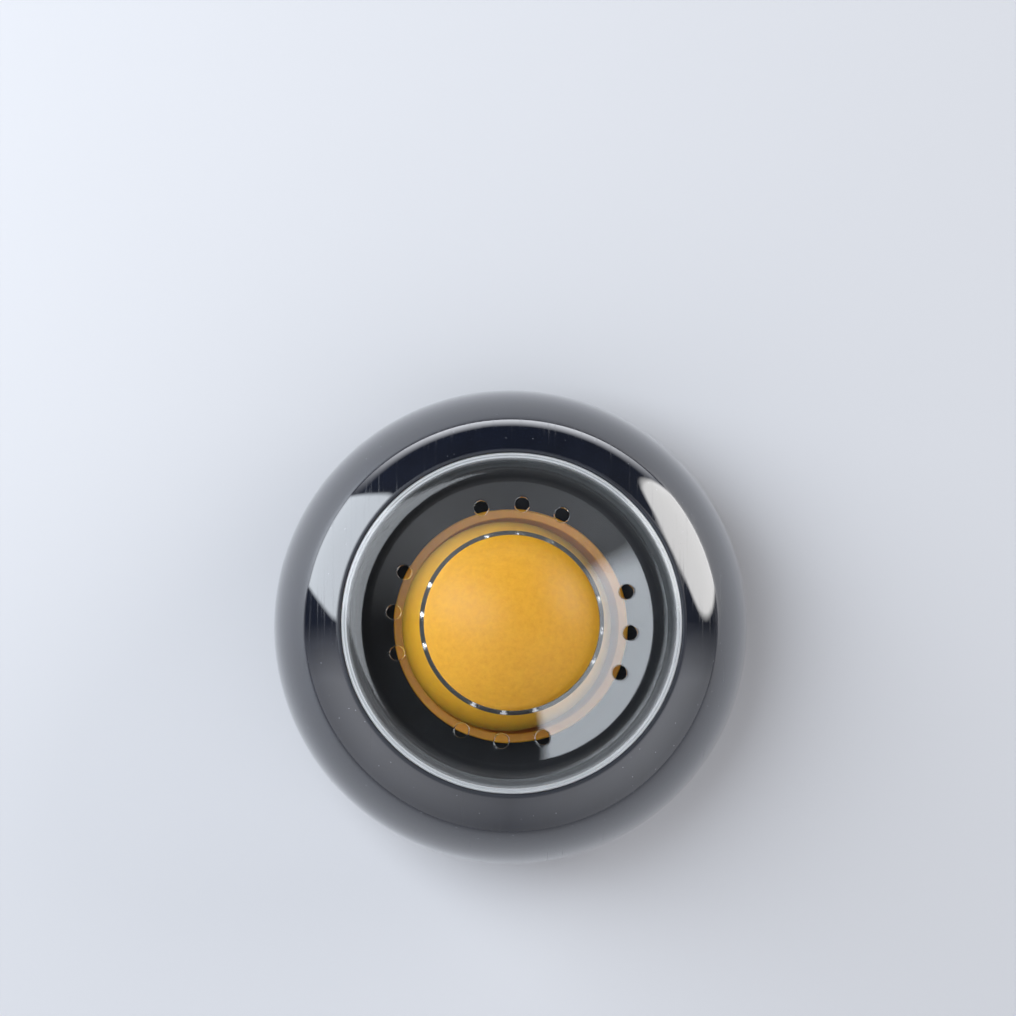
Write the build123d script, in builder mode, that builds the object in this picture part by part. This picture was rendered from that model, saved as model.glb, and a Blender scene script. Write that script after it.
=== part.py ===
from build123d import *
import math
import os

# Finger moistener: a squat round water tank with a loose ball that a fingertip rolls.
# All sizes are in millimetres. +Z is up, the foot ring stands on Z = 0 and the Z axis
# is the axis of the housing.

# Housing, two black mouldings that snap together at the widest diameter
body_diameter = 90.0
seam_height = 15.0
shell_wall = 2.0
shoulder_centre_radius = 22.0
foot_outer_radius = 30.0
foot_width = 3.0
foot_recess = 0.3
foot_rounding = 0.2
floor_thickness = 1.0
seam_chamfer = 0.25

# Ship-lap joint with a snap bead between the two mouldings
lap_height = 3.0
lap_gap = 0.1
snap_height = 0.25
snap_length = 0.8

# Hollow ball, two half shells joined by a stepped lap. It is loose in its cup and lies
# off the axis by ball_shift, towards the direction ball_shift_turn.
ball_diameter = 39.5
ball_wall = 1.2
ball_lift = 0.15
ball_shift = 0.9
ball_shift_turn = 198.4
ball_lap = 1.5
ball_lap_gap = 0.05

# Cup that keeps the ball in the middle of the tank, with water slots at its foot. It is
# pressed over a ring on the tank's floor that flares with the cup and holds it down.
cup_height = 14.7
cup_clearance = 0.85
cup_draft = 20.0
cup_wall = 1.7
cup_rounding = 0.3
cup_ring_height = 1.6
cup_ring_wall = 1.2
cup_ring_gap = 0.05
slot_width = 5.0
slot_height = 8.0
slot_count = 4
slot_turn = 45.0

# Clear bowl: funnel, opening with an undercut lip, broad crowned rim and a plug wall. The
# crown of the rim is an arc that runs on from the funnel without a corner.
opening_diameter = 32.0
lip_gap = 0.1
lip_undercut = 1.1
lip_rounding = 0.15
bowl_sheet = 1.4
funnel_radius = 25.7
funnel_rise = 2.072
rim_width = 5.6
rim_crown_radius = 6.7
rim_flange = 0.9
rim_rounding = 0.4
plug_inset = 1.4
plug_wall = 1.4
plug_depth = 4.5
plug_chamfer = 0.4

# Drain holes in the funnel, in groups that repeat round the bowl
drain_diameter = 2.6
drain_rounding = 0.2
drain_circle_diameter = 43.6
drain_groups = 4
drains_per_group = 3
drain_pitch = 20.0
drain_turn = -5.0

# Mouth of the upper shell, which takes the rim and the plug wall of the bowl
plug_gap = 0.1
seat_gap = 0.1
rim_gap = 0.1
bead_width = 0.5
bead_rise = 0.175
bead_rounding = 0.2
collar_wall = 1.6
collar_ledge = 1.5
collar_overlap = 1.0

# Heights that follow from the floor up
body_radius = body_diameter / 2
floor_top = foot_recess + floor_thickness
ball_radius = ball_diameter / 2
ball_height = floor_top + ball_lift + ball_radius
opening_radius = opening_diameter / 2
lip_reach = opening_radius - ball_shift
lip_height = ball_height + math.sqrt((ball_radius + lip_gap) ** 2 - lip_reach**2)
funnel_height = lip_height + funnel_rise

# Slope of the funnel, the crown of the rim that continues it and the parallel underside
funnel_slope = math.atan2(funnel_rise, funnel_radius - opening_radius)
funnel_tangent = math.tan(funnel_slope)
sheet_drop = bowl_sheet / math.cos(funnel_slope)
rim_radius = funnel_radius + rim_width
rim_crest_radius = funnel_radius + rim_crown_radius * math.sin(funnel_slope)
rim_height = funnel_height + rim_crown_radius * (1 - math.cos(funnel_slope))
crown_centre_height = rim_height - rim_crown_radius
crown_reach = rim_radius - rim_crest_radius
rim_edge_height = crown_centre_height + math.sqrt(rim_crown_radius**2 - crown_reach**2)
flange_height = rim_edge_height - rim_flange
plug_radius = rim_radius - plug_inset
plug_bottom = flange_height - plug_depth


def funnel_underside(radius):
    """Height of the funnel's underside at a radius."""
    return lip_height + (radius - opening_radius) * funnel_tangent - sheet_drop


def ellipse_reach(semi_axis, other_semi_axis, offset):
    """Distance along one semi-axis of an ellipse at an offset along the other."""
    return semi_axis * math.sqrt(1 - (offset / other_semi_axis) ** 2)


os.makedirs("parts", exist_ok=True)

# Cup and slots, shared by the base tank and the cup
cup_taper = math.tan(math.radians(cup_draft))
cup_thickness = cup_wall / math.cos(math.radians(cup_draft))
cup_top = floor_top + cup_height
cup_top_radius = ball_radius + cup_clearance
cup_foot_radius = cup_top_radius - cup_height * cup_taper
cup_ring_radius = cup_foot_radius - cup_ring_gap
cup_ring_top = floor_top + cup_ring_height
cup_ring_inner_radius = cup_ring_radius - cup_ring_wall
slot_outer_radius = cup_foot_radius + cup_thickness + slot_height * cup_taper
slot_length = slot_outer_radius - cup_ring_inner_radius + cup_wall
slot_radius = (slot_outer_radius + cup_ring_inner_radius) / 2

# Base tank: bowl-shaped wall, foot ring, floor, cup ring and the inner half of the lap
lap_radius = body_radius - shell_wall / 2
spigot_radius = lap_radius - lap_gap
spigot_inner_radius = body_radius - shell_wall
spigot_top = seam_height + lap_height - lap_gap
snap_middle = seam_height + lap_height / 2

with BuildPart() as base_tank:
    with BuildSketch(Plane.XZ):
        with BuildLine():
            Polyline(
                (0, floor_top),
                (0, foot_recess),
                (foot_outer_radius - foot_width, foot_recess),
                (foot_outer_radius - foot_width, 0),
                (foot_outer_radius, 0),
            )
            EllipticalCenterArc(
                (foot_outer_radius, seam_height),
                body_radius - foot_outer_radius,
                seam_height,
                start_angle=-90,
                arc_size=90,
            )
            Polyline(
                (body_radius, seam_height),
                (spigot_radius, seam_height),
                (spigot_radius, snap_middle - snap_length / 2),
                (spigot_radius + snap_height, snap_middle),
                (spigot_radius, snap_middle + snap_length / 2),
                (spigot_radius, spigot_top),
                (spigot_inner_radius, spigot_top),
                (spigot_inner_radius, seam_height),
            )
            EllipticalCenterArc(
                (foot_outer_radius, seam_height),
                spigot_inner_radius - foot_outer_radius,
                seam_height - floor_top,
                start_angle=-90,
                arc_size=90,
            )
            Polyline(
                (foot_outer_radius, floor_top),
                (cup_ring_radius, floor_top),
                (cup_ring_radius + cup_ring_height * cup_taper, cup_ring_top),
                (cup_ring_inner_radius, cup_ring_top),
                (cup_ring_inner_radius, floor_top),
                (0, floor_top),
            )
        make_face()
    revolve(axis=Axis.Z)
    with Locations((0, 0, floor_top)):
        with PolarLocations(slot_radius, slot_count, start_angle=slot_turn):
            Box(
                slot_length,
                slot_width,
                cup_ring_height,
                align=(Align.CENTER, Align.CENTER, Align.MIN),
                mode=Mode.SUBTRACT,
            )
    circles = base_tank.edges().filter_by(GeomType.CIRCLE)
    foot_edges = circles.filter_by(lambda edge: abs(edge.center().Z) < 1e-6)
    fillet(foot_edges.sort_by(SortBy.RADIUS)[0], foot_rounding)
    seam_edges = circles.filter_by(lambda edge: abs(edge.radius - body_radius) < 1e-6)
    chamfer(seam_edges, seam_chamfer)
base_tank.part.label = "base_tank"
export_step(base_tank.part, "parts/base_tank.step")

# Ball cup: a drafted sleeve that stands on the floor, open below and slotted at its foot
with BuildPart() as ball_cup:
    with BuildSketch(Plane.XZ):
        with BuildLine():
            Polyline(
                (cup_foot_radius, floor_top),
                (cup_foot_radius + cup_thickness, floor_top),
                (cup_top_radius + cup_thickness, cup_top),
                (cup_top_radius, cup_top),
                (cup_foot_radius, floor_top),
            )
        make_face()
    revolve(axis=Axis.Z)
    circles = ball_cup.edges().filter_by(GeomType.CIRCLE)
    cup_rim_edges = circles.filter_by(lambda edge: abs(edge.center().Z - cup_top) < 1e-6)
    fillet(cup_rim_edges, cup_rounding)
    with Locations((0, 0, floor_top)):
        with PolarLocations(slot_radius, slot_count, start_angle=slot_turn):
            Box(
                slot_length,
                slot_width,
                slot_height,
                align=(Align.CENTER, Align.CENTER, Align.MIN),
                mode=Mode.SUBTRACT,
            )
ball_cup.part.label = "ball_cup"
export_step(ball_cup.part, "parts/ball_cup.step")

# Upper shell: shoulder with an elliptical section, mouth bead, collar and outer lap
rebate_radius = rim_radius + rim_gap
mouth_radius = rebate_radius + bead_width
mouth_height = rim_edge_height + bead_rise
ledge_height = flange_height - seat_gap
collar_radius = plug_radius + plug_gap
collar_bottom = plug_bottom - collar_overlap
ledge_underside = ledge_height - collar_ledge
shoulder_width = body_radius - shoulder_centre_radius
mouth_share = ellipse_reach(1, shoulder_width, mouth_radius - shoulder_centre_radius)
shoulder_rise = (mouth_height - seam_height) / mouth_share
mouth_angle = math.degrees(math.asin(mouth_share))
inner_width = shoulder_width - shell_wall
inner_rise = shoulder_rise - shell_wall
lap_top = seam_height + lap_height
lap_inner_radius = shoulder_centre_radius + ellipse_reach(inner_width, inner_rise, lap_height)
ledge_share = (ledge_underside - seam_height) / inner_rise
ledge_inner_radius = shoulder_centre_radius + ellipse_reach(inner_width, 1, ledge_share)
lap_angle = math.degrees(math.asin(lap_height / inner_rise))
ledge_angle = math.degrees(math.asin(ledge_share))

with BuildPart() as upper_shell:
    with BuildSketch(Plane.XZ):
        with BuildLine():
            EllipticalCenterArc(
                (shoulder_centre_radius, seam_height),
                shoulder_width,
                shoulder_rise,
                start_angle=0,
                arc_size=mouth_angle,
            )
            Polyline(
                (mouth_radius, mouth_height),
                (rebate_radius, mouth_height),
                (rebate_radius, ledge_height),
                (collar_radius, ledge_height),
                (collar_radius, collar_bottom),
                (collar_radius + collar_wall, collar_bottom),
                (collar_radius + collar_wall, ledge_underside),
                (ledge_inner_radius, ledge_underside),
            )
            EllipticalCenterArc(
                (shoulder_centre_radius, seam_height),
                inner_width,
                inner_rise,
                start_angle=lap_angle,
                arc_size=ledge_angle - lap_angle,
            )
            Polyline(
                (lap_inner_radius, lap_top),
                (lap_radius, lap_top),
                (lap_radius, snap_middle + snap_length / 2 + lap_gap),
                (lap_radius + snap_height, snap_middle),
                (lap_radius, snap_middle - snap_length / 2 - lap_gap),
                (lap_radius, seam_height),
                (body_radius, seam_height),
            )
        make_face()
    revolve(axis=Axis.Z)
    circles = upper_shell.edges().filter_by(GeomType.CIRCLE)
    bead_edges = circles.filter_by(lambda edge: abs(edge.center().Z - mouth_height) < 1e-6)
    fillet(bead_edges, bead_rounding)
    seam_edges = circles.filter_by(lambda edge: abs(edge.radius - body_radius) < 1e-6)
    chamfer(seam_edges, seam_chamfer)
upper_shell.part.label = "upper_shell"
export_step(upper_shell.part, "parts/upper_shell.step")

# Clear bowl: a funnel round the opening, a broad crowned rim and a plug wall below it
lip_foot_radius = opening_radius + lip_undercut
plug_inner_radius = plug_radius - plug_wall
funnel_foot_radius = funnel_radius + bowl_sheet * math.sin(funnel_slope)

with BuildPart() as clear_bowl:
    with BuildSketch(Plane.XZ):
        with BuildLine():
            Line((opening_radius, lip_height), (funnel_radius, funnel_height))
            ThreePointArc(
                (funnel_radius, funnel_height),
                (rim_crest_radius, rim_height),
                (rim_radius, rim_edge_height),
            )
            Polyline(
                (rim_radius, rim_edge_height),
                (rim_radius, flange_height),
                (plug_radius, flange_height),
                (plug_radius, plug_bottom),
                (plug_inner_radius, plug_bottom),
                (plug_inner_radius, rim_height - bowl_sheet),
                (funnel_foot_radius, funnel_underside(funnel_foot_radius)),
                (lip_foot_radius, funnel_underside(lip_foot_radius)),
                (opening_radius, lip_height),
            )
        make_face()
    revolve(axis=Axis.Z)
    circles = clear_bowl.edges().filter_by(GeomType.CIRCLE)
    rim_edges = circles.filter_by(lambda edge: abs(edge.radius - rim_radius) < 1e-6)
    fillet(rim_edges.sort_by(Axis.Z)[-1], rim_rounding)
    lip_edges = circles.sort_by(SortBy.RADIUS)[:2]
    fillet(lip_edges, lip_rounding)
    plug_edges = circles.filter_by(lambda edge: abs(edge.center().Z - plug_bottom) < 1e-6)
    chamfer(plug_edges, plug_chamfer)
    first_drain = drain_turn - drain_pitch * (drains_per_group - 1) / 2
    with BuildSketch(Plane.XY.offset(rim_height)):
        for group in range(drain_groups):
            for drain in range(drains_per_group):
                angle = first_drain + group * 360 / drain_groups + drain * drain_pitch
                with PolarLocations(drain_circle_diameter / 2, 1, start_angle=angle):
                    Circle(drain_diameter / 2)
    extrude(amount=-(rim_height - plug_bottom), mode=Mode.SUBTRACT)
    drain_faces = clear_bowl.faces().filter_by(GeomType.CYLINDER)
    drain_faces = drain_faces.filter_by(lambda face: abs(face.radius - drain_diameter / 2) < 1e-6)
    drain_edges = [face.edges().sort_by(Axis.Z)[-1] for face in drain_faces]
    fillet(drain_edges, drain_rounding)
clear_bowl.part.label = "clear_bowl"
export_step(clear_bowl.part, "parts/clear_bowl.step")

# Ball: two half shells, the lower one with a tongue inside the upper one's rebate
ball_turn = math.radians(ball_shift_turn)
ball_centre = (ball_shift * math.cos(ball_turn), ball_shift * math.sin(ball_turn), ball_height)
ball_plane = Plane(origin=ball_centre, x_dir=(1, 0, 0), z_dir=(0, -1, 0))
ball_axis = Axis(ball_centre, (0, 0, 1))
ball_inner_radius = ball_radius - ball_wall
ball_rebate_radius = ball_radius - ball_wall / 2
ball_tongue_radius = ball_rebate_radius - ball_lap_gap
ball_tongue = ball_lap - ball_lap_gap
lap_hollow_radius = ellipse_reach(ball_inner_radius, ball_inner_radius, ball_lap)
ball_lap_angle = math.degrees(math.asin(ball_lap / ball_inner_radius))

with BuildPart() as ball_upper_half:
    with BuildSketch(ball_plane):
        with BuildLine():
            CenterArc((0, 0), ball_radius, 0, 90)
            Line((0, ball_radius), (0, ball_inner_radius))
            CenterArc((0, 0), ball_inner_radius, ball_lap_angle, 90 - ball_lap_angle)
            Polyline(
                (lap_hollow_radius, ball_lap),
                (ball_rebate_radius, ball_lap),
                (ball_rebate_radius, 0),
                (ball_radius, 0),
            )
        make_face()
    revolve(axis=ball_axis)
ball_upper_half.part.label = "ball_upper_half"
export_step(ball_upper_half.part, "parts/ball_upper_half.step")

with BuildPart() as ball_lower_half:
    with BuildSketch(ball_plane):
        with BuildLine():
            CenterArc((0, 0), ball_radius, -90, 90)
            Polyline(
                (ball_radius, 0),
                (ball_tongue_radius, 0),
                (ball_tongue_radius, ball_tongue),
                (ball_inner_radius, ball_tongue),
                (ball_inner_radius, 0),
            )
            CenterArc((0, 0), ball_inner_radius, -90, 90)
            Line((0, -ball_inner_radius), (0, -ball_radius))
        make_face()
    revolve(axis=ball_axis)
ball_lower_half.part.label = "ball_lower_half"
export_step(ball_lower_half.part, "parts/ball_lower_half.step")

heights = (mouth_height, rim_height, ball_height + ball_radius)
print("heights of the mouth, rim and ball", [round(height, 3) for height in heights])
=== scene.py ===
import math

import bpy
from mathutils import Matrix, Vector


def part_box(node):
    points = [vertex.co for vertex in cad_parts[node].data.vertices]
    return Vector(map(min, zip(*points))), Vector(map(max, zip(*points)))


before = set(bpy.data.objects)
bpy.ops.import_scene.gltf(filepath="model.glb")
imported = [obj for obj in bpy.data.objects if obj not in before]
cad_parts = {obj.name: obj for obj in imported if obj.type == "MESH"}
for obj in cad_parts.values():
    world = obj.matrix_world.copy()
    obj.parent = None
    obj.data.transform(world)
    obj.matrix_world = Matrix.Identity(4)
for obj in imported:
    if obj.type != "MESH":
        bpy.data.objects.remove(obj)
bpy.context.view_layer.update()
scene = bpy.context.scene

# Places on the part, in metres. All but the mouth's bead and the ball's opening come from the frame.
seam_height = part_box("upper_shell")[0].z
mouth_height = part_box("upper_shell")[1].z
bowl_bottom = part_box("clear_bowl")[0].z
bowl_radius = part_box("clear_bowl")[1].x
mouth_bead = 0.0006
mouth_radius = bowl_radius + mouth_bead
opening_radius = 0.016

# The photograph is taken from almost straight above, with the object a little below its middle. The camera stands
# left of the object's axis and towards its front, and looks at a point behind the axis, all by these amounts. The
# picture's width is measured at the height of the seam.
photo_lens = 100.0
photo_sensor = 36.0
photo_width = 0.1935
camera_height = photo_width * photo_lens / photo_sensor
camera_left = 0.006
camera_front = 0.017
aim_right = -0.0005
aim_back = 0.0225

# Colours, each as a dark and a light tone
black_tones = (0.004, 0.006, 0.013), (0.006, 0.009, 0.019)
yellow_tones = (0.69, 0.33, 0.016), (0.80, 0.415, 0.027)
amber_tones = (0.74, 0.30, 0.010), (0.84, 0.365, 0.016)
floor_tones = (0.70, 0.70, 0.72), (0.73, 0.73, 0.75)
dust_colour = (0.24, 0.25, 0.28)
clear_colour = (0.95, 0.97, 0.98)
# Dark grey colour on the clear plug's foot: painted shade
shaded_foot_colour = (0.09, 0.095, 0.10)
shadow_tint = (0.93, 0.94, 0.94)
world_colour = (0.92, 0.94, 1.0)

# Optical and surface values
polystyrene_index = 1.59
gloss_coat_index = 1.9
gloss_coat_roughness = 0.03
ball_index = 1.5
ball_scatter_weight = 0.6
ball_scatter_radius = (1.0, 0.6, 0.3)
ball_scatter_depth = 0.0012
ball_grain_depth = 0.00004
black_ripple_depth = 0.00002
floor_roughness = 0.7
floor_reach = 3.0

# Ranges: the middle of a noise, from none to all and from all to none
noise_middle = (0.3, 0.7)
rising = (0.0, 1.0)
falling = (1.0, 0.0)

# Ranges in metres over which one finish fades into the next
outside_start = (mouth_radius, mouth_radius + 0.0004)
crown_start = (bowl_radius - 0.0045, bowl_radius - 0.0028)
lip_end = (opening_radius + 0.0018, opening_radius + 0.002)
foot_end = (bowl_bottom + 0.0006, bowl_bottom + 0.0008)
edge_start = (bowl_radius - 0.0016, bowl_radius - 0.0007)
edge_low = (mouth_height - 0.002, mouth_height - 0.0008)

# Roughness ranges
scuffed_gloss = (0.05, 0.28)
unpolished_face = (0.45, 0.55)
polished_face = (0.0, 0.04)
satin_face = (0.07, 0.18)
ground_face = (0.15, 0.30)
coarse_ground_face = (0.55, 0.70)
ball_face = (0.42, 0.58)

# How much the clear plastic's haze takes from its clearness, and how clear its ground foot stays, so that the
# foot's dark grey colour shows as painted shade
edge_haze_range = (0.1, 0.6)
lip_haze = 0.12
shaded_foot_clearness = 0.35

# Scales of textures, in features per metre
black_tone_scale = 180.0
black_ripple_scale = 90.0
unpolished_scale = 700.0
dust_scale = 650.0
hairline_scale = (2600.0, 70.0, 70.0)
ring_scale = 3500.0
grit_scale = 2500.0
polish_scale = 300.0
ball_grain_scale = 900.0
floor_tone_scale = 6.0


class Nodes:
    """A node tree with short ways to add and link nodes."""

    def __init__(self, tree):
        self.tree = tree
        self.tree.nodes.clear()

    def add(self, kind, **values):
        node = self.tree.nodes.new(kind)
        for name, value in values.items():
            setattr(node, name, value)
        return node

    def link(self, source, target):
        self.tree.links.new(source, target)


def material_tree(name):
    material = bpy.data.materials.new(name)
    material.use_nodes = True
    nodes = Nodes(material.node_tree)
    shader = nodes.add("ShaderNodeBsdfPrincipled")
    output = nodes.add("ShaderNodeOutputMaterial")
    nodes.link(shader.outputs["BSDF"], output.inputs["Surface"])
    place = nodes.add("ShaderNodeTexCoord")
    return material, nodes, shader, place.outputs["Object"]


# Values that vary over a surface

def noise(nodes, place, scale, detail=3.0, roughness=0.5):
    texture = nodes.add("ShaderNodeTexNoise")
    texture.inputs["Scale"].default_value = scale
    texture.inputs["Detail"].default_value = detail
    texture.inputs["Roughness"].default_value = roughness
    nodes.link(place, texture.inputs["Vector"])
    return texture.outputs["Fac"]


def rings(nodes, radius, scale):
    """Fine rings round the axis, as a turned mould leaves them."""
    texture = nodes.add("ShaderNodeTexNoise", noise_dimensions="1D")
    texture.inputs["Scale"].default_value = scale
    texture.inputs["Detail"].default_value = 1.0
    nodes.link(radius, texture.inputs["W"])
    return texture.outputs["Fac"]


def hairlines(nodes, place, turn):
    """Fine scratches that all run one way."""
    stretch = nodes.add("ShaderNodeMapping")
    stretch.inputs["Rotation"].default_value = (0.3, 0.2, turn)
    stretch.inputs["Scale"].default_value = hairline_scale
    nodes.link(place, stretch.inputs["Vector"])
    return noise(nodes, stretch.outputs["Vector"], 1.0, detail=2.0)


def specks(nodes, place, scale, size, share):
    """Dust: small round spots, one in every cell of the share that is kept."""
    cells = nodes.add("ShaderNodeTexVoronoi")
    cells.inputs["Scale"].default_value = scale
    nodes.link(place, cells.inputs["Vector"])
    parts = nodes.add("ShaderNodeSeparateColor")
    nodes.link(cells.outputs["Color"], parts.inputs["Color"])
    kept = nodes.add("ShaderNodeMath", operation="LESS_THAN")
    nodes.link(parts.outputs["Red"], kept.inputs[0])
    kept.inputs[1].default_value = share
    spot = spread(nodes, cells.outputs["Distance"], (0.6 * size, size), falling)
    return both_of(nodes, spot, kept.outputs["Value"])


def radius_from_axis(nodes, place):
    flat = nodes.add("ShaderNodeVectorMath", operation="MULTIPLY")
    nodes.link(place, flat.inputs[0])
    flat.inputs[1].default_value = (1.0, 1.0, 0.0)
    length = nodes.add("ShaderNodeVectorMath", operation="LENGTH")
    nodes.link(flat.outputs["Vector"], length.inputs[0])
    return length.outputs["Value"]


def levelness(nodes):
    """How level the surface is: 1 on a level face and 0 on an upright wall."""
    surface = nodes.add("ShaderNodeNewGeometry")
    return size_of(nodes, axis_parts(nodes, surface.outputs["Normal"])["Z"])


# Arithmetic on such values

def axis_parts(nodes, vector):
    parts = nodes.add("ShaderNodeSeparateXYZ")
    nodes.link(vector, parts.inputs["Vector"])
    return parts.outputs


def calculate(nodes, operation, *values):
    node = nodes.add("ShaderNodeMath", operation=operation)
    for index, value in enumerate(values):
        nodes.link(value, node.inputs[index])
    return node.outputs["Value"]


def size_of(nodes, value):
    return calculate(nodes, "ABSOLUTE", value)


def sum_of(nodes, first, second):
    return calculate(nodes, "ADD", first, second)


def both_of(nodes, first, second):
    return calculate(nodes, "MULTIPLY", first, second)


def spread(nodes, value, given, wanted):
    """Maps a value from the given range to the wanted one and clamps it there."""
    mapping = nodes.add("ShaderNodeMapRange")
    mapping.inputs["From Min"].default_value, mapping.inputs["From Max"].default_value = given
    mapping.inputs["To Min"].default_value, mapping.inputs["To Max"].default_value = wanted
    nodes.link(value, mapping.inputs["Value"])
    return mapping.outputs["Result"]


def fade(nodes, factor, first, second):
    """Goes from one value to another by a factor."""
    mix = nodes.add("ShaderNodeMix")
    nodes.link(factor, mix.inputs[0])
    nodes.link(first, mix.inputs[2])
    nodes.link(second, mix.inputs[3])
    return mix.outputs[0]


def two_tone(nodes, factor, low, high):
    ramp = nodes.add("ShaderNodeValToRGB")
    ramp.color_ramp.elements[0].color = (*low, 1.0)
    ramp.color_ramp.elements[1].color = (*high, 1.0)
    nodes.link(factor, ramp.inputs["Fac"])
    return ramp.outputs["Color"]


def blend(nodes, factor, under, colour):
    """Lays one colour over another by a factor."""
    mix = nodes.add("ShaderNodeMix", data_type="RGBA")
    nodes.link(factor, mix.inputs[0])
    nodes.link(under, mix.inputs[6])
    mix.inputs[7].default_value = (*colour, 1.0)
    return mix.outputs[2]


def bump(nodes, shader, height, distance):
    node = nodes.add("ShaderNodeBump")
    node.inputs["Strength"].default_value = 1.0
    node.inputs["Distance"].default_value = distance
    nodes.link(height, node.inputs["Height"])
    nodes.link(node.outputs["Normal"], shader.inputs["Normal"])


def let_through(nodes, shader, tint):
    """Lamps shine through a clear wall onto what is behind it."""
    rays = nodes.add("ShaderNodeLightPath")
    passing = nodes.add("ShaderNodeBsdfTransparent")
    passing.inputs["Color"].default_value = (*tint, 1.0)
    choice = nodes.add("ShaderNodeMixShader")
    nodes.link(rays.outputs["Is Shadow Ray"], choice.inputs["Fac"])
    nodes.link(shader.outputs["BSDF"], choice.inputs[1])
    nodes.link(passing.outputs["BSDF"], choice.inputs[2])
    output = next(node for node in nodes.tree.nodes if node.type == "OUTPUT_MATERIAL")
    nodes.link(choice.outputs["Shader"], output.inputs["Surface"])


# Materials

def black_plastic(scratch_turn):
    """Glossy black outside with dust and hairlines, unpolished inside the mouth."""
    material, nodes, shader, place = material_tree("black_polystyrene")
    tone = noise(nodes, place, black_tone_scale)
    colour = two_tone(nodes, spread(nodes, tone, noise_middle, rising), *black_tones)
    radius = radius_from_axis(nodes, place)
    outside = spread(nodes, radius, outside_start, rising)
    dust = both_of(nodes, outside, specks(nodes, place, dust_scale, size=0.075, share=0.7))
    nodes.link(blend(nodes, dust, colour, dust_colour), shader.inputs["Base Color"])
    scuffed = spread(nodes, hairlines(nodes, place, scratch_turn), (0.55, 0.75), scuffed_gloss)
    unpolished = spread(nodes, noise(nodes, place, unpolished_scale), (0.35, 0.75), unpolished_face)
    nodes.link(fade(nodes, outside, unpolished, scuffed), shader.inputs["Roughness"])
    nodes.link(outside, shader.inputs["Coat Weight"])
    shader.inputs["IOR"].default_value = polystyrene_index
    shader.inputs["Coat IOR"].default_value = gloss_coat_index
    shader.inputs["Coat Roughness"].default_value = gloss_coat_roughness
    bump(nodes, shader, noise(nodes, place, black_ripple_scale, detail=2.0), black_ripple_depth)
    return material


def clear_plastic():
    material, nodes, shader, place = material_tree("clear_polystyrene")
    shader.inputs["IOR"].default_value = polystyrene_index
    radius = radius_from_axis(nodes, place)
    height = axis_parts(nodes, place)["Z"]
    lines = rings(nodes, radius, ring_scale)
    grit = noise(nodes, place, grit_scale)

    # Where the rim's crown, the lip's wall, the plug wall's foot and the rim's edge are
    crown = spread(nodes, radius, crown_start, rising)
    upright = spread(nodes, levelness(nodes), (0.55, 0.75), falling)
    lip = both_of(nodes, upright, spread(nodes, radius, lip_end, falling))
    foot = spread(nodes, height, foot_end, falling)
    edge = both_of(nodes, spread(nodes, radius, edge_start, rising), spread(nodes, height, edge_low, rising))

    # Polished funnel, satin crown, ground lip and ground foot
    rough = spread(nodes, noise(nodes, place, polish_scale), (0.4, 0.8), polished_face)
    rough = fade(nodes, crown, rough, spread(nodes, lines, noise_middle, satin_face))
    rough = fade(nodes, lip, rough, spread(nodes, grit, noise_middle, ground_face))
    rough = fade(nodes, foot, rough, spread(nodes, grit, noise_middle, coarse_ground_face))
    nodes.link(rough, shader.inputs["Roughness"])
    # The foot's dark grey base colour is painted shade, not the colour of ground clear plastic
    nodes.link(two_tone(nodes, foot, clear_colour, shaded_foot_colour), shader.inputs["Base Color"])

    # Haze that handling leaves on the rim's edge and on the lip. The ground foot is less clear too, and its dark
    # grey colour is painted shade.
    haze = sum_of(
        nodes,
        both_of(nodes, edge, spread(nodes, lines, (0.4, 0.62), edge_haze_range)),
        spread(nodes, lip, rising, (0.0, lip_haze)),
    )
    clear = spread(nodes, haze, rising, falling)
    clear = both_of(nodes, clear, spread(nodes, foot, rising, (1.0, shaded_foot_clearness)))
    nodes.link(clear, shader.inputs["Transmission Weight"])
    let_through(nodes, shader, shadow_tint)
    return material


def ball_plastic(name, low, high):
    """Satin plastic with a fine grain that lets a little light in."""
    material, nodes, shader, place = material_tree(name)
    grain = noise(nodes, place, ball_grain_scale, detail=5.0, roughness=0.75)
    colour = two_tone(nodes, spread(nodes, grain, noise_middle, rising), low, high)
    nodes.link(colour, shader.inputs["Base Color"])
    nodes.link(spread(nodes, grain, noise_middle, ball_face), shader.inputs["Roughness"])
    shader.inputs["IOR"].default_value = ball_index
    shader.inputs["Subsurface Weight"].default_value = ball_scatter_weight
    shader.inputs["Subsurface Radius"].default_value = ball_scatter_radius
    shader.inputs["Subsurface Scale"].default_value = ball_scatter_depth
    bump(nodes, shader, grain, ball_grain_depth)
    return material


def dress(node, material):
    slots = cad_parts[node].data.materials
    slots.clear()
    slots.append(material)


# Floor, lamps, world and camera

def make_floor():
    reach = floor_reach
    mesh = bpy.data.meshes.new("floor")
    corners = [(-reach, -reach, 0.0), (reach, -reach, 0.0), (reach, reach, 0.0), (-reach, reach, 0.0)]
    mesh.from_pydata(corners, [], [(0, 1, 2, 3)])
    floor = bpy.data.objects.new("floor", mesh)
    scene.collection.objects.link(floor)
    material, nodes, shader, place = material_tree("pale_floor")
    tone = noise(nodes, place, floor_tone_scale)
    nodes.link(two_tone(nodes, tone, *floor_tones), shader.inputs["Base Color"])
    shader.inputs["Roughness"].default_value = floor_roughness
    mesh.materials.append(material)


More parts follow.
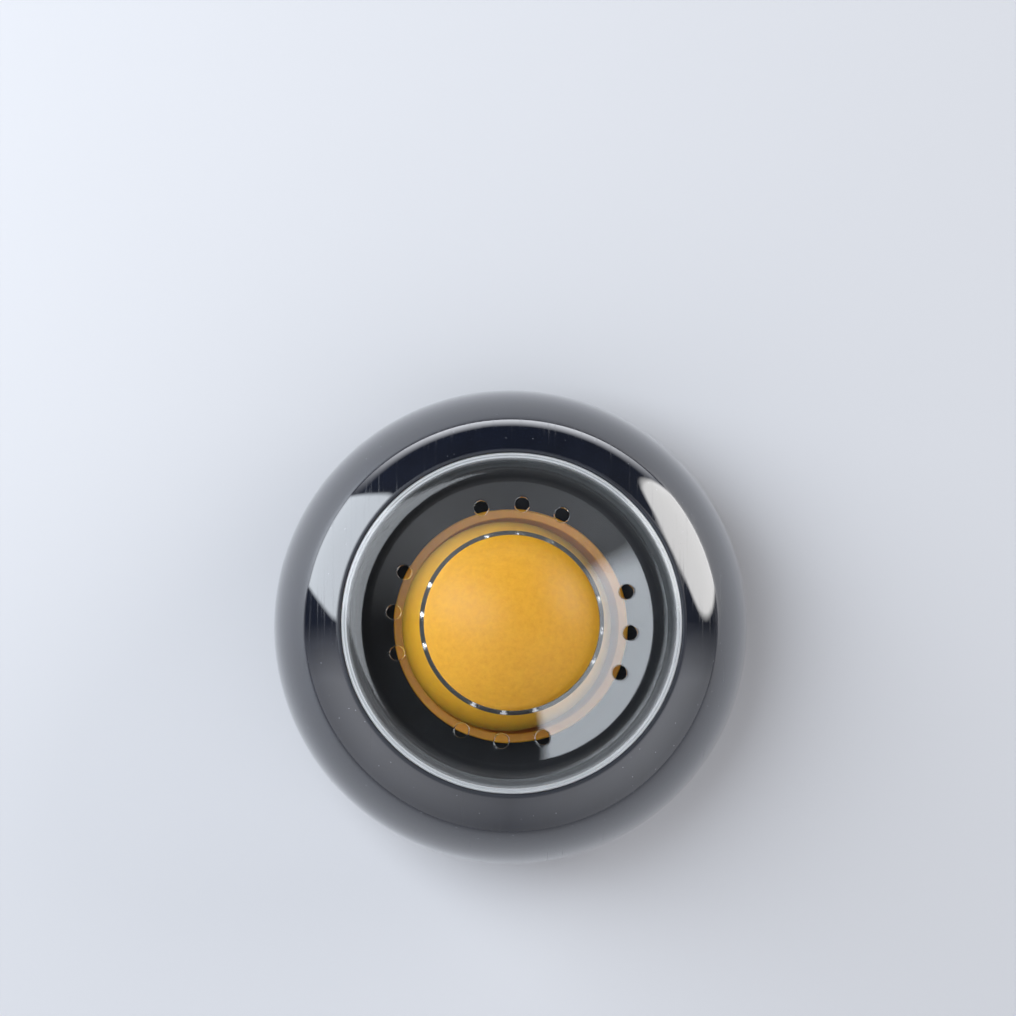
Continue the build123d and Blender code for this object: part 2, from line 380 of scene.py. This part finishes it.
def soft_edges(tree, shape, share):
    """Lets a lamp's face fade out over a share of its size."""
    nodes = Nodes(tree)
    emission = nodes.add("ShaderNodeEmission")
    output = nodes.add("ShaderNodeOutputLight")
    nodes.link(emission.outputs["Emission"], output.inputs["Surface"])
    face = nodes.add("ShaderNodeNewGeometry")
    middle = nodes.add("ShaderNodeVectorMath", operation="SUBTRACT")
    nodes.link(face.outputs["Parametric"], middle.inputs[0])
    middle.inputs[1].default_value = (0.5, 0.5, 0.0)
    if shape == "ELLIPSE":
        length = nodes.add("ShaderNodeVectorMath", operation="LENGTH")
        nodes.link(middle.outputs["Vector"], length.inputs[0])
        reach = length.outputs["Value"]
    else:
        parts = axis_parts(nodes, middle.outputs["Vector"])
        reach = calculate(nodes, "MAXIMUM", size_of(nodes, parts["X"]), size_of(nodes, parts["Y"]))
    nodes.link(spread(nodes, reach, (0.5 - share, 0.5), falling), emission.inputs["Strength"])


def softbox(name, azimuth, reach, height, lean, width, length, radiance, tint, shape, soft):
    """An area lamp. Azimuth is counted from +X, reach is its distance from the object's axis, lean is how far its
    face is turned from straight down, and soft is the share of its size over which it fades out."""
    data = bpy.data.lights.new(name, "AREA")
    data.shape = shape
    data.size = width
    data.size_y = length
    filled_share = math.pi / 4 if shape == "ELLIPSE" else 1.0
    data.energy = radiance * math.pi * width * length * filled_share
    data.color = tint
    data.use_nodes = True
    soft_edges(data.node_tree, shape, soft)
    lamp = bpy.data.objects.new(name, data)
    lamp.visible_camera = False
    scene.collection.objects.link(lamp)
    turn, tip = math.radians(azimuth), math.radians(lean)
    lamp.location = (reach * math.cos(turn), reach * math.sin(turn), height)
    facing = Vector((-math.cos(turn) * math.sin(tip), -math.sin(turn) * math.sin(tip), -math.cos(tip)))
    lamp.rotation_mode = "QUATERNION"
    lamp.rotation_quaternion = facing.to_track_quat("-Z", "Y")


def make_lamps():
    softbox("left_softbox", azimuth=154.0, reach=0.518, height=0.387, lean=45.0, width=0.46, length=1.10,
            radiance=4.0, tint=(0.87, 0.93, 1.0), shape="RECTANGLE", soft=0.05)
    softbox("right_softbox", azimuth=26.0, reach=0.78, height=0.20, lean=77.0, width=0.68, length=0.58,
            radiance=4.0, tint=(1.0, 0.99, 0.98), shape="ELLIPSE", soft=0.06)


def make_world():
    """A room that is pale in front, more so to the sides and above, and dark behind, but for a low bright wall."""
    world = bpy.data.worlds.new("studio")
    world.use_nodes = True
    nodes = Nodes(world.node_tree)
    background = nodes.add("ShaderNodeBackground")
    output = nodes.add("ShaderNodeOutputWorld")
    nodes.link(background.outputs["Background"], output.inputs["Surface"])
    background.inputs["Color"].default_value = (*world_colour, 1.0)
    direction = axis_parts(nodes, nodes.add("ShaderNodeTexCoord").outputs["Generated"])
    front = spread(nodes, direction["Y"], (-0.25, 0.03), (1.0, 0.07))
    sides = spread(nodes, size_of(nodes, direction["X"]), (0.0, 0.7), (0.55, 1.05))
    above = spread(nodes, direction["Z"], (0.1, 0.5), (0.65, 1.0))
    room = both_of(nodes, both_of(nodes, front, sides), above)
    wall_middle = spread(nodes, direction["Y"], (0.64, 0.95), (0.0, 4.0))
    wall_low = spread(nodes, direction["Z"], (0.0, 0.15), falling)
    wall = both_of(nodes, wall_middle, wall_low)
    nodes.link(sum_of(nodes, room, wall), background.inputs["Strength"])
    scene.world = world


def make_camera():
    data = bpy.data.cameras.new("photo_camera")
    data.lens = photo_lens
    data.sensor_width = photo_sensor
    data.clip_start = 0.01
    data.clip_end = 20.0
    camera = bpy.data.objects.new("photo_camera", data)
    scene.collection.objects.link(camera)
    camera.location = (-camera_left, -camera_front, seam_height + camera_height)
    ahead = (Vector((aim_right, aim_back, seam_height)) - camera.location).normalized()
    right = ahead.cross(Vector((0.0, 1.0, 0.0))).normalized()
    camera.rotation_mode = "QUATERNION"
    camera.rotation_quaternion = Matrix((right, right.cross(ahead), -ahead)).transposed().to_quaternion()
    scene.camera = camera


dress("base_tank", black_plastic(scratch_turn=1.1))
dress("upper_shell", black_plastic(scratch_turn=0.4))
dress("clear_bowl", clear_plastic())
ball_material = ball_plastic("satin_yellow_plastic", *yellow_tones)
dress("ball_cup", ball_plastic("amber_plastic", *amber_tones))
dress("ball_upper_half", ball_material)
dress("ball_lower_half", ball_material)
make_floor()
make_lamps()
make_world()
make_camera()
scene.view_settings.view_transform = "Standard"
